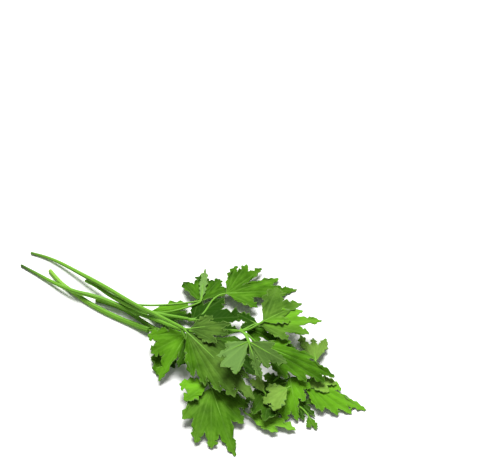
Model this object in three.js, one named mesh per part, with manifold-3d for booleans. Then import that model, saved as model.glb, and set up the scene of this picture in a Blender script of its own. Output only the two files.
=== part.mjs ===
import * as THREE from 'three'
import Module from 'manifold-3d'

// A bunch of fresh flat-leaf parsley, laid down loose: five cut stems, each with the leaves that grow
// from it. Millimetres. +X runs from the cut ends to the leaf tips and +Z up from the surface below.
// Each leafy stem is one closed solid: a tapering stalk, thin branches, and blades with lobed, toothed
// edges.

const wasm = await Module()
wasm.setup()
const { Manifold, Mesh } = wasm

// Stalks and branches
const STALK_SIDES = 8
const STALK_STEPS = 18
const THICKEST = 0.4 // how far along its stalk each is thickest
const BRANCH_SIDES = 5
const BRANCH_STEPS = 6
const BRANCH_ROOT_RADIUS = 0.7
const BRANCH_TIP_RADIUS = 0.5
const BRANCH_REACH = 5 // how far a branch runs on inside its blade, as the root of the middle vein

// Blades
const BLADE_THICKNESS = 0.8
const SLOPE_STEP = 0.05 // the step that a blade's slope is measured over
const VEIN_STOPS = [0.3, 0.62, 1]
const SIDE_STOPS = [0.3, 0.65] // where a lobe's teeth stand, as shares of the way from notch to tip
// Where the teeth and two further points stand along the outer sides of a blade's first and last lobes
const OUTER_TEETH = [0.42, 0.63, 0.84]
const OUTER_STOPS = [0.18, 0.36]
const TOOTH_STEP = 0.035
const TOOTH_CROWDING = 0.2 // the most that a tooth's step takes of the way from notch to tip
const TOOTH_DEPTH = 0.3
const NOTCH_OPENING = 0.2 // how fast a notch between two lobes opens, to each side
const SLIMMEST = 0.06 // half a lobe's least width between two notches, as a share of its length
const OUTER_GAP = 50 // degrees, the pleat outside the first and last lobes
// Half a lobe's width along it, both as shares
const ENVELOPE = [
  [0, 0], [0.12, 0.16], [0.3, 0.5], [0.5, 0.88], [0.68, 1], [0.84, 0.74], [0.94, 0.42], [1, 0],
]

// The surface below: blades bend flat along it, and what is left below it is cut away
const FLOOR_MIDDLE = 0.37
const FLOOR_SOFTNESS = 0.7

// The middle of the finished bunch's box in the frame that the tables below are written in
const ORIGIN = [-9.25, 7.25]

// A blade is given by the place of its base, the heading and pitch of its middle lobe in degrees, and
// its lobes as pairs of angle, counted to the left, and length. The rest has a usual value:
// from: where its branch leaves the stalk, 1 at the stalk's end
// roll: 180 shows the underside
// cut: how much of the lobes the notches leave whole, or a list with a value for each notch
// width: half a lobe's width, as a share of its length
// outer: the same for the outer sides of the first and last lobes, as a share of that width
// lift: degrees that the left and right sides start above the blade's plane
// droop: degrees that the left, middle and right lobes turn down along their length
// pleat: how high the blade stands between two veins, as a share of the distance from its base
// arrive: heading and pitch of the branch where it reaches the blade, if they aren't the blade's own
// swing: how far the branch runs on straight at the stalk and at the blade, as shares of its length
function blade(base, heading, pitch, lobes, more = {}) {
  const usual = {
    from: 1, roll: 0, cut: 0.6, width: 0.28, lift: [0, 0], droop: [5, 5, 5], pleat: 0.05,
    outer: [0.7, 0.7], arrive: [heading, pitch], swing: [0.45, 0.45],
  }
  return { base, heading, pitch, lobes, ...usual, ...more }
}

// A stem's route runs from its cut end, and its radii are at the cut end, where it is thickest and at its tip
const STEMS = [
  {
    name: 'leafy_stem_1',
    route: [
      [-120.5, 11.1, 0.9], [-110.5, 12.6, 1.4], [-102, 12.6, 2.3], [-92, 11.5, 3.6], [-82.5, 10.1, 5],
      [-72.5, 8.5, 6.8], [-60.5, 6.4, 9], [-49.5, 4.2, 11], [-37, 1.9, 13.4], [-29, 1, 15],
      [-21, -0.1, 16.6], [-6, -2.2, 19.5],
    ],
    radii: [0.72, 1.3, 0.85],
    blades: [
      blade([-2, -1, 20], 37, 5, [[27, 15], [0, 23], [-19, 22], [-40, 18]], {
        cut: [0.8, 0.85, 0.8], width: 0.3,
      }),
      blade([-2, -4, 20], -17, -1, [[22, 29], [9, 44], [0, 55], [-8, 47], [-15, 40], [-24, 33], [-34, 26]], {
        cut: [0.85, 0.9, 0.93, 0.93, 0.92, 0.9], width: 0.22, lift: [-6, -12], droop: [8, 10, 14],
        pleat: 0.025,
      }),
      blade([24, -22, 8], -41, -10, [[44, 23], [23, 27], [0, 42], [-18, 35], [-33, 33], [-59, 24]], {
        from: 0.97, cut: [0.85, 0.86, 0.84, 0.85, 0.9], width: 0.24, arrive: [-35, 0], swing: [0.1, 0.45],
      }),
      blade([22, -22, 10], -156, -5, [[43, 16], [0, 16]], {
        from: 0.97, cut: 0.72, width: 0.42, arrive: [-35, 0], swing: [0.1, 0.45],
      }),
      blade([-4, -1, 14], -92, -17, [[16, 20], [0, 31], [-34, 23], [-61, 23]], {
        cut: [0.62, 0.8, 0.8], width: 0.3, droop: [8, 8, 8],
      }),
    ],
  },
  {
    name: 'leafy_stem_2',
    route: [
      [-120, 0.5, 0.9], [-108.5, -0.3, 1.3], [-98, -1.3, 2.1], [-89, -2.2, 3.6], [-79.5, -2.2, 5],
      [-70.5, -0.4, 5.3], [-61.5, 1.1, 5.2], [-47.5, 2.2, 5], [-28.5, 2.8, 6.6], [-10, 3, 9], [3, 6, 12],
      [14, 10, 16], [21, 12, 18],
    ],
    radii: [0.72, 1.35, 0.9],
    blades: [
      blade([31, 23, 21], 70, -11, [[34, 32], [0, 30], [-28, 16]], { cut: 0.75, droop: [10, 10, 10] }),
      blade([29, 21, 20], 43, -8, [[15, 29], [0, 38], [-19, 29], [-41, 19]], {
        cut: 0.85, width: 0.24, droop: [10, 10, 10],
      }),
      blade([29, 21, 19], 171, -8, [[43, 10], [0, 15]], {
        cut: 0.75, width: 0.4, arrive: [20, 0], swing: [0.3, 0.3],
      }),
      blade([33, 3, 27], -127, -6, [[23, 13], [0, 19], [-20, 21], [-48, 21]], {
        roll: 180, cut: [0.85, 0.8, 0.9], width: 0.3, droop: [-5, -5, -5], outer: [0.3, 0.3],
        arrive: [-43, 0], swing: [0.15, 0.4],
      }),
      blade([33, 3, 27], -43, -7, [[0, 24]], {
        roll: 180, width: 0.16, droop: [0, -10, 0], arrive: [-43, 0], swing: [0.15, 0.4],
      }),
      blade([34, 3, 27], 4, -13, [[30, 18], [0, 23], [-33, 14]], {
        roll: 180, cut: [0.85, 0.9], width: 0.3, droop: [0, 0, 0], outer: [0.3, 0.3], arrive: [-43, 0],
        swing: [0.15, 0.4],
      }),
      blade([37, 11, 17], 11, -9, [[34, 17], [11, 30], [0, 44], [-9, 40], [-20, 32], [-36, 24]], {
        cut: [0.8, 0.93, 0.95, 0.95, 0.92], width: 0.22, droop: [5, 10, 10],
      }),
      blade([22, 18, 15], 8, -4, [[20, 17], [0, 31], [-28, 15]], { cut: 0.7, width: 0.26 }),
    ],
  },
  {
    name: 'leafy_stem_3',
    route: [
      [-103, 5.6, 1.1], [-97, 3, 1.2], [-90.5, 0.7, 1.24], [-82.5, -0.8, 1.24], [-69, -3, 1.24],
      [-58, -3.6, 1.15], [-48.5, -3.5, 1.1], [-38.5, -3.2, 1.7], [-28.5, -3.3, 3.3],
    ],
    radii: [1.1, 1.38, 1.6],
    blades: [
      blade([-22, -2, 6], -38, -9, [[25, 19], [0, 25], [-20, 29]], { cut: 0.8, width: 0.26 }),
    ],
  },
  {
    name: 'leafy_stem_4',
    route: [
      [-79.5, 8.5, 3.2], [-71.5, 7.7, 4.1], [-61, 5.6, 5.2], [-51, 3.7, 7.4], [-39, 2.5, 9.6],
      [-28.5, 4.6, 10], [-11.5, 11.6, 8],
    ],
    radii: [0.9, 1.4, 0.9],
    blades: [
      blade([-9, 12, 8], 35, 2, [[71, 16], [37, 24], [0, 30], [-23, 27]], { cut: 0.8, width: 0.3 }),
      blade([-12, 26, 8], 119, -13, [[31, 21], [0, 26], [-26, 24], [-54, 22]], {
        from: 0.38, cut: [0.8, 0.85, 0.85], width: 0.22, arrive: [40, 0], swing: [0.3, 0.35],
      }),
      blade([-11, 25, 9], 116, -11, [[0, 27]], {
        from: 0.68, roll: 180, width: 0.1, droop: [5, 10, 5], outer: [1, 1], arrive: [60, 0],
        swing: [0.3, 0.3],
      }),
      blade([-2, 38, 8], 42, -9, [[63, 23], [52, 27], [34, 31], [16, 35], [0, 43], [-34, 20]], {
        cut: [0.85, 0.88, 0.42, 0.85, 0.8], width: 0.22,
      }),
    ],
  },
  {
    name: 'leafy_stem_5',
    route: [
      [-67.5, 1, 1.2], [-59, 2.5, 1.2], [-49, 3.2, 1.3], [-30, 0.5, 1.6], [-13, -1, 2], [3, -3, 2],
      [23, -8, 2], [41, -14, 3],
    ],
    radii: [1.1, 1.3, 0.9],
    blades: [
      blade([7, 8, 7], -15, 1, [[28, 30], [0, 39], [-26, 25]], { from: 0.6, cut: 0.75 }),
      blade([-35, 6, 4], 24, 1, [[23, 24], [0, 29], [-24, 22]], { from: 0.22, cut: 0.8, width: 0.3 }),
      blade([48, -24, 3], 10, -2, [[28, 20], [0, 28], [-14, 20]], {
        cut: 0.85, width: 0.24, droop: [0, 0, 0],
      }),
      blade([51, -11, 10], 164, 5, [[0, 11], [-23, 11]], { cut: 0.8, width: 0.34 }),
      blade([58, 5, 9], -50, -14, [[54, 13], [21, 16], [0, 25], [-17, 25]], {
        cut: [0.8, 0.85, 0.85], width: 0.3,
      }),
      blade([61, -3, 11], -117, -2, [[27, 16], [0, 16], [-34, 12]], { cut: 0.85, width: 0.36 }),
      blade([51, -2, 7], -89, 3, [[19, 25], [0, 23], [-22, 19], [-49, 11]], {
        cut: 0.88, width: 0.3, outer: [1, 1],
      }),
      blade([58, 2, 8], -132, -1, [[34, 23], [0, 20], [-39, 14]], { cut: 0.75, width: 0.3 }),
      blade([64, 9, 6], 5, -9, [[15, 22], [0, 39], [-10, 33], [-22, 28], [-36, 22]], {
        cut: [0.9, 0.9, 0.95, 0.96], width: 0.24, outer: [1, 0.5],
      }),
      blade([64, 9, 6], 27, -4, [[0, 19], [-23, 16]], { cut: 0.9, width: 0.3 }),
      blade([64, 24, 5], 123, -9, [[18, 22], [0, 19], [-22, 19]], {
        cut: 0.7, width: 0.26, droop: [0, 5, 0],
      }),
      blade([67, -2, 3], -17, -8, [[36, 10], [0, 14], [-29, 13]], { width: 0.3, droop: [0, 0, 0] }),
      blade([77, -8, 2], -32, -9, [[0, 9], [-24, 7]], { cut: 0.8, width: 0.4, droop: [0, 0, 0] }),
    ],
  },
]

const LEAF_GREEN = new THREE.MeshStandardMaterial({ color: 0x4f8f1f, roughness: 0.55, name: 'leaf' })

// The value at x of straight lines through the pairs in a list
function along(list, x) {
  let k = 1
  while (k < list.length - 1 && x > list[k][0]) k++
  const [x0, y0] = list[k - 1]
  const [x1, y1] = list[k]
  return THREE.MathUtils.lerp(y0, y1, THREE.MathUtils.clamp((x - x0) / (x1 - x0), 0, 1))
}

// Unit vectors along a blade's middle lobe, to its left and out of its upper face
function bladeFrame({ heading, pitch, roll }) {
  const [h, p, r] = [heading, pitch, roll].map(THREE.MathUtils.degToRad)
  const ahead = new THREE.Vector3(Math.cos(h) * Math.cos(p), Math.sin(h) * Math.cos(p), Math.sin(p))
  const level = new THREE.Vector3(-Math.sin(h), Math.cos(h), 0)
  const above = new THREE.Vector3().crossVectors(ahead, level)
  const out = above.multiplyScalar(Math.cos(r)).addScaledVector(level, Math.sin(r))
  return { ahead, left: new THREE.Vector3().crossVectors(out, ahead), out }
}

// How high a blade stands at an angle, between the nearest veins
function pleatHeight(shape, angle, radius) {
  const angles = shape.lobes.map(([a]) => a)
  const nearest = angles.reduce((best, a) => (Math.abs(a - angle) < Math.abs(best - angle) ? a : best))
  if (angle === nearest) return 0
  const step = Math.sign(angle - nearest)
  const others = angles.filter((a) => Math.sign(a - nearest) === step)
  const gap = others.length ? Math.min(...others.map((a) => Math.abs(a - nearest))) : OUTER_GAP
  const share = Math.min(1, Math.abs(angle - nearest) / (gap / 2))
  return (shape.pleat * radius * (1 - Math.cos(Math.PI * share))) / 2
}

// The map from a blade's flat outline to its place in the bunch: each ray from the base bends down as an arc
function bladeMap(shape) {
  const { ahead, left, out } = bladeFrame(shape)
  const angles = shape.lobes.map(([a]) => a)
  const size = Math.max(...shape.lobes.map(([, length]) => length))
  const knots = [Math.min(-1, ...angles), 0, Math.max(1, ...angles)]
  const spread = (values) => (angle) => along(knots.map((a, k) => [a, values[k]]), angle)
  const liftAt = spread([shape.lift[1], 0, shape.lift[0]])
  const droopAt = spread([shape.droop[2], shape.droop[1], shape.droop[0]])
  return (x, y) => {
    const radius = Math.hypot(x, y)
    const turn = Math.atan2(y, x)
    const angle = THREE.MathUtils.radToDeg(turn)
    const lift = THREE.MathUtils.degToRad(liftAt(angle))
    const bend = THREE.MathUtils.degToRad(droopAt(angle) || 0.01) / size
    const run = (Math.sin(lift) - Math.sin(lift - bend * radius)) / bend
    const rise = (Math.cos(lift - bend * radius) - Math.cos(lift)) / bend
    const point = new THREE.Vector3(...shape.base)
      .addScaledVector(ahead, run * Math.cos(turn))
      .addScaledVector(left, run * Math.sin(turn))
      .addScaledVector(out, rise + pleatHeight(shape, angle, radius))
    const height = (point.z - FLOOR_MIDDLE) / FLOOR_SOFTNESS
    point.z = FLOOR_MIDDLE + FLOOR_SOFTNESS * Math.log1p(Math.exp(height))
    return point
  }
}

// One side of a lobe, from its notch to its tip, as points along and out from its vein
function lobeSide(length, width, gap, notch) {
  const reach = gap ? Math.tan(THREE.MathUtils.degToRad(gap) / 2) : Infinity
  const start = notch ? notch[0] / length : 0
  const points = notch ? [] : OUTER_STOPS.map((stop) => [stop * length, width * along(ENVELOPE, stop)])
  const teeth = notch ? SIDE_STOPS.map((share) => start + (1 - start) * share) : OUTER_TEETH
  const step = Math.min(TOOTH_STEP, TOOTH_CROWDING * (1 - start))
  for (const stop of teeth) {
    const between = Math.max(stop * reach - NOTCH_OPENING * (stop - start), SLIMMEST) * length
    const out = Math.min(width * along(ENVELOPE, stop), notch ? between : Infinity)
    points.push([stop * length, out], [(stop + step) * length, out * (1 - TOOTH_DEPTH)])
  }
  return points
}

// Triangles between a vein and an edge that end at the same point, each point as [number, along, out].
// The edge is taken first where the next point of the vein wouldn't see it.
function stripBetween(vein, edge) {
  const sees = (k, j) => {
    const [[, x0], [, x1, y1], [, x2, y2]] = [vein[k], edge[j], edge[j + 1]]
    return (x1 - x0) * y2 - (x2 - x0) * y1 < 0
  }
  const faces = []
  let [i, j] = [0, 0]
  while (i < vein.length - 1 || j < edge.length - 1) {
    const inTurn = () => vein[i + 1][1] <= edge[j + 1][1] && sees(i + 1, j)
    const onVein = j === edge.length - 1 || (i < vein.length - 1 && (!sees(i, j) || inTurn()))
    const next = onVein ? vein[i + 1] : edge[j + 1]
    const face = [vein[i][0], edge[j][0], next[0]]
    if (new Set(face).size === 3) faces.push(face)
    if (onVein) i++
    else j++
  }
  return faces
}

// The flat outline of a blade, as points and triangles. The halves of a lobe share its vein, and two
// lobes share the notch between them.
function bladeFlat({ lobes, cut, width, outer }) {
  const points = [new THREE.Vector2(0, 0)]
  const triangles = []
  const add = (angle, x, y) => {
    points.push(new THREE.Vector2(x, y).rotateAround(points[0], THREE.MathUtils.degToRad(angle)))
    return points.length - 1
  }
  const notches = lobes.slice(1).map(([angle, length], k) => {
    const radius = (cut[k] ?? cut) * Math.min(length, lobes[k][1])
    const half = THREE.MathUtils.degToRad((lobes[k][0] - angle) / 2)
    const number = add((angle + lobes[k][0]) / 2, radius, 0)
    return { number, place: [radius * Math.cos(half), radius * Math.sin(half)] }
  })
  lobes.forEach(([angle, length], i) => {
    const vein = [[0, 0, 0], ...VEIN_STOPS.map((stop) => [add(angle, stop * length, 0), stop * length, 0])]
    const tip = vein[vein.length - 1]
    for (const side of [1, -1]) {
      const neighbour = lobes[i - side]
      const notch = neighbour ? notches[side > 0 ? i - 1 : i] : undefined
      const gap = neighbour ? Math.abs(neighbour[0] - angle) : 0
      const share = neighbour ? width : width * outer[side > 0 ? 0 : 1]
      const edge = lobeSide(length, share * length, gap, notch?.place)
        .map(([x, y]) => [add(angle, x, y * side), x, y])
      const start = notch ? [notch.number, ...notch.place] : vein[0]
      triangles.push(...stripBetween(vein, [start, ...edge, tip]))
    }
  })
  for (const face of triangles) {
    if (THREE.ShapeUtils.area(face.map((k) => points[k])) < 0) face.reverse()
  }
  return { points, triangles }
}

function solidOf(vertices, triangles) {
  const vertProperties = new Float32Array(vertices.flatMap((v) => [v.x - ORIGIN[0], v.y - ORIGIN[1], v.z]))
  return new Manifold(new Mesh({ numProp: 3, vertProperties, triVerts: new Uint32Array(triangles.flat()) }))
}

// A blade as a thin closed sheet, split into triangles alike on both faces
function bladeSolid(shape) {
  const { points, triangles } = bladeFlat(shape)
  const place = bladeMap(shape)
  const middle = points.map(({ x, y }) => place(x, y))
  const normals = points.map(({ x, y }, k) => {
    const ahead = place(x + SLOPE_STEP, y).sub(middle[k])
    const left = place(x, y + SLOPE_STEP).sub(middle[k])
    return ahead.cross(left).normalize().multiplyScalar(BLADE_THICKNESS / 2)
  })
  const count = points.length
  const vertices = [
    ...middle.map((point, k) => point.clone().add(normals[k])),
    ...middle.map((point, k) => point.clone().sub(normals[k])),
  ]
  const faces = triangles.flatMap(([a, b, c]) => [[a, b, c], [c + count, b + count, a + count]])
  const seen = new Set(triangles.flatMap(([a, b, c]) => [`${a},${b}`, `${b},${c}`, `${c},${a}`]))
  for (const edge of seen) {
    const [a, b] = edge.split(',').map(Number)
    if (seen.has(`${b},${a}`)) continue
    faces.push([a, a + count, b + count], [a, b + count, b])
  }
  return solidOf(vertices, faces)
}

// A closed tube through points, its radii as pairs of share of its length and radius
function tube(path, radii, sides) {
  const vertices = []
  path.forEach((centre, k) => {
    const [before, after] = [path[Math.max(k - 1, 0)], path[Math.min(k + 1, path.length - 1)]]
    const tangent = after.clone().sub(before).normalize()
    const level = new THREE.Vector3(-tangent.y, tangent.x, 0).normalize()
    const above = new THREE.Vector3().crossVectors(tangent, level)
    const radius = along(radii, k / (path.length - 1))
    for (let i = 0; i < sides; i++) {
      const turn = ((i + 0.5) * 2 * Math.PI) / sides
      const rim = centre.clone().addScaledVector(level, radius * Math.cos(turn))
      vertices.push(rim.addScaledVector(above, radius * Math.sin(turn)))
    }
  })
  const faces = []
  for (let k = 1; k < path.length; k++) {
    for (let i = 0; i < sides; i++) {
      const j = (i + 1) % sides
      const [a, b, c, d] = [(k - 1) * sides + i, (k - 1) * sides + j, k * sides + j, k * sides + i]
      faces.push([a, b, c], [a, c, d])
    }
  }
  const last = (path.length - 1) * sides
  for (let i = 1; i < sides - 1; i++) faces.push([0, i + 1, i], [last, last + i, last + i + 1])
  return solidOf(vertices, faces)
}

function stalkCurve({ route }) {
  return new THREE.CatmullRomCurve3(route.map((p) => new THREE.Vector3(...p)), false, 'centripetal')
}

function stalkSolid(stem) {
  const [cut, thickest, tip] = stem.radii
  const radii = [[0, cut], [THICKEST, thickest], [1, tip]]
  return tube(stalkCurve(stem).getSpacedPoints(STALK_STEPS), radii, STALK_SIDES)
}

// The branch that carries a blade: out of the stalk, round to the blade's base, and on inside the blade
function branchSolid(stem, shape) {
  const curve = stalkCurve(stem)
  const start = curve.getPointAt(shape.from)
  const place = bladeMap(shape)
  const base = place(0, 0)
  const length = start.distanceTo(base)
  const [heading, pitch] = shape.arrive
  const { ahead } = bladeFrame({ heading, pitch, roll: 0 })
  const leave = start.clone().addScaledVector(curve.getTangentAt(shape.from), length * shape.swing[0])
  const arrive = base.clone().addScaledVector(ahead, -length * shape.swing[1])
  const swing = new THREE.CubicBezierCurve3(start, leave, arrive, base).getPoints(BRANCH_STEPS)
  const inside = [BRANCH_REACH / 2, BRANCH_REACH].map((x) => place(x, 0))
  const radii = [[0, BRANCH_ROOT_RADIUS], [1, BRANCH_TIP_RADIUS]]
  return tube([...swing, ...inside], radii, BRANCH_SIDES)
}

function stemMesh(stem) {
  const parts = [stalkSolid(stem)]
  for (const shape of stem.blades) parts.push(branchSolid(stem, shape), bladeSolid(shape))
  // Blades that cross can close off a speck of space. Keeping only the outermost shell fills it.
  const shells = Manifold.union(parts).trimByPlane([0, 0, 1], 0).decompose()
  const solid = shells.reduce((best, shell) => (shell.volume() > best.volume() ? shell : best))
  const { vertProperties, triVerts } = solid.getMesh()
  const geometry = new THREE.BufferGeometry()
  geometry.setAttribute('position', new THREE.BufferAttribute(vertProperties, 3))
  geometry.setIndex(new THREE.BufferAttribute(triVerts, 1))
  const faceted = geometry.toNonIndexed()
  faceted.computeVertexNormals()
  const mesh = new THREE.Mesh(faceted, LEAF_GREEN)
  mesh.name = stem.name
  return mesh
}

const group = new THREE.Group()
group.name = 'parsley_bunch'
for (const stem of STEMS) group.add(stemMesh(stem))

export default group
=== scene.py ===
import math
import random

import bmesh
import bpy
import numpy as np
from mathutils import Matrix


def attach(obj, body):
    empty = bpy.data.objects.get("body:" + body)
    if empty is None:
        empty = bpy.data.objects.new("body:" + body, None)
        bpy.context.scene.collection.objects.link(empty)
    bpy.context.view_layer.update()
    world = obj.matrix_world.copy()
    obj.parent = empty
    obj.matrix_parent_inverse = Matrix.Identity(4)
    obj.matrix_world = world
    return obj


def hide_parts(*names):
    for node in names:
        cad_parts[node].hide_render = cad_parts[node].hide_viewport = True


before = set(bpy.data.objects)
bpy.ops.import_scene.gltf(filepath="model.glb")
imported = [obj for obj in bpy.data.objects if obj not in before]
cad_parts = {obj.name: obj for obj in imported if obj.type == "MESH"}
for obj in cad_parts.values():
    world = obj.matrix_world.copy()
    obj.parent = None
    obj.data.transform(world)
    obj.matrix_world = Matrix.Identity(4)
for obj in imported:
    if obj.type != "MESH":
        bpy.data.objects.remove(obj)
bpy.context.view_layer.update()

bl_info = {
    "name": "Parsley bunch",
    "version": (1, 0, 0),
    "blender": (4, 5, 0),
    "location": "View3D > Sidebar > Parsley",
    "description": "A loose bunch of fresh flat-leaf parsley, with its stage and lights",
    "category": "Add Mesh",
}

MM = 0.001

# The middle of the bunch's box in the frame that the tables below are written in, in millimetres
ORIGIN = (-9.25, 7.25)

# The photograph's camera, in metres: pixels are square and the picture is 500 by 465
PICTURE_WIDTH = 500
SENSOR_WIDTH = 36.0
CAMERA_AZIMUTH = math.radians(30)
CAMERA_ELEVATION = math.radians(50)
CAMERA_DISTANCE = 0.9
PIXEL_SIZE = 0.0006  # what one pixel spans at the camera's target
CAMERA_TARGET = (-16.36, 90.27, 0.0)  # in millimetres, in the tables' frame

# Blades: shares of a lobe's length and angles, as in the solids where no note says more
SIDE_TEETH = (0.3, 0.65)  # on the way from a notch to the tip
OUTER_TEETH = (0.42, 0.63, 0.84)
OUTER_STOPS = (0.18, 0.36)
TOOTH_STEP = 0.035
TOOTH_CROWDING = 0.2
TOOTH_DEPTH = 0.5  # deeper than in the solids
NOTCH_OPENING = 0.3  # wider than in the solids
DEEPER = 0.06  # how much further the notches go than in the solids
SLIMMEST = 0.06
OUTER_GAP = 50.0
FLATTEST = 0.01  # the least droop in degrees, because a straight ray has no arc
ENVELOPE_AT = (0.0, 0.12, 0.3, 0.5, 0.68, 0.84, 0.94, 1.0)
ENVELOPE_WIDTH = (0.0, 0.16, 0.5, 0.88, 1.0, 0.74, 0.42, 0.0)
FLOOR_MIDDLE = 0.37  # in millimetres: how high a blade's middle is where it lies along the floor
FLOOR_SOFTNESS = 0.7  # how gently it bends to lie so
PLEATING = 0.6  # the share of the solids' pleats that the thin blades have

# How finely half a lobe is divided: rows before and after its notch, and columns from its vein to its edge
INNER_ROWS = 14
OUTER_ROWS = 78
ACROSS = (0.0, 0.08, 0.26, 0.5, 0.74, 0.93, 1.0)
ROWS_TURN = 0.4  # where the inner rows end on a blade of one lobe, as a share of its length

# Edges of the blades, in millimetres where no share is named
EDGE_STEPS = 12
SWELL = 0.03  # how far the edge between two corners stands out, as a share of its length
SWELL_FROM = 2.0  # the shortest stretch that does
HOOK = 1.6  # how late a fine tooth rises on its way to its point
TOOTH_SINK = 0.3  # the share of a fine tooth that is cut into the edge
TEETH_SET_IN = 3.0  # over this length the fine teeth grow
TEETH_END = 1.5  # and over this length before the tip they fade
PLAIN_NOTCH = 0.5  # how far from a notch the edge has no teeth
PLAIN_BASE = 0.25  # how far up an outer edge it has none, as a share of the lobe
WAVE_ROWS = 8  # over how many rows the waves set in and end
STILL_ROWS = 4  # rows at the base with no waves where an edge has no notch
GROOVE_DEPTH = 0.08  # of the groove over a middle vein
GROOVE_WIDTH = 0.5
MERGE_DISTANCE = 0.000004  # in metres
BLADE_SEED = 11

# Stalks and branches, in millimetres and shares of their length
STALK_SIDES = 28
STALK_RINGS = 110
ROUTE_POINTS = 220
CURVE_STEPS = 60
THICKEST = 0.4  # how far along its stalk each is thickest
PALE_SHARE = 0.6  # how far up from its cut end a stalk can be pale
DRY_SHARE = 0.14  # how far up it can have dried
LOWEST = 0.05  # a stalk that lies on the floor is flat underneath, at this height
TWIST = 0.8  # how far the ribs turn round a stalk, in radians
CUT_INSETS = (0.08, 0.14, 0.3)  # rings of the cut end, as shares of the radius
CUT_DISH = 0.0025  # how deep the cut end is dished, as a share of the stalk's length
SHARP_EDGE = math.radians(50)
STALK_SEED = 7
BRANCH_SIDES = 10
BRANCH_RINGS = 30
BRANCH_ROOT = 0.7
BRANCH_TIP = 0.5
BRANCH_END = 0.16  # radius where a branch ends under its blade's middle vein
BRANCH_RIBS = 5
BRANCH_RIB_HEIGHT = 0.05
SWING_POINTS = 40  # from the stalk to the blade's base
UNDER_POINTS = 30  # from there on, under the middle vein
UNDER_REACH = 0.55
UNDER_DEPTH = 0.12

# Textures: patches in a metre
MOTTLES = 130.0
CLOUDS = 45.0
PORES = 900.0
STALK_CLOUDS = 60.0
PITH_CELLS = 2600.0

# Veins and rims: where each ends and where it shows in full, in millimetres from its middle or from the rim
SIDE_VEIN = (0.42, 0.08)
MIDDLE_VEIN = (0.62, 0.12)
VEINLESS_RIM = (0.1, 1.4)
PALE_RIM = (0.42, 0.05)
VEIN_SLANT = 1.25  # how far a side vein runs on for each millimetre out
VEIN_STRAY = 0.9

# Streaks: how closely they follow each other along a vein, out from it and through the clouds
STREAK_STRETCH = (0.07, 0.5, 3.0)
STALK_STRETCH = (12.0, 0.2)  # round a stalk and along it

# How strongly the patterns show, as shares
SIDE_VEIN_SHOW = 0.45
UPPER_CLOUDS = 0.7
UPPER_MOTTLES = 0.5
UPPER_STREAKS = 0.7
DULL_STREAKS = 0.8
UPPER_VEINS = 0.1
UNDER_CLOUDS = 0.6
UNDER_VEINS = 0.2
RIM_SHOW = 0.5
# Ribs: their own paler green together with a painted highlight along them
RIB_AND_HIGHLIGHT_SHOW = 0.55
RIB_GRAIN = 0.5

# The stage, in metres
FLOOR_SIZE = 6
FLOOR_HEIGHT = -0.00002  # just below the bunch, so that the two never share a face
KEY_PLACE = (-0.25, 0.45, 1.1)
KEY_SIZE = 0.75
FILL_PLACE = (0.7, -0.8, 0.8)
FILL_SIZE = 1.2


def leaf(base, heading, pitch, lobes, **more):
    """A blade: its base in mm, its middle lobe's heading and pitch, and lobes as (angle to the left, length).

    Start is where its branch leaves the stalk, arrive the heading and pitch that the branch comes in with,
    and swing how far it keeps its direction at either end. Cut is what each notch leaves whole. Outer is how
    wide the two outermost halves are. Tone and grey are one number, or one each for left, middle and right.
    The tone is the blade's own green together with painted light: set low for painted shade on blades that
    lie in shade, and set high for painted light on the lit side of a fold or against a shadow cast on the
    blade.
    """
    usual = {
        "start": 1.0, "roll": 0, "cut": 0.6, "width": 0.28, "lift": (0, 0), "droop": (5, 5, 5),
        "pleat": 0.05, "outer": (0.7, 0.7), "arrive": (heading, pitch), "swing": (0.45, 0.45),
        "tone": 0.5, "grey": 0.2, "wave": 0.5,
    }
    return {"base": base, "heading": heading, "pitch": pitch, "lobes": lobes, **usual, **more}


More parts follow.
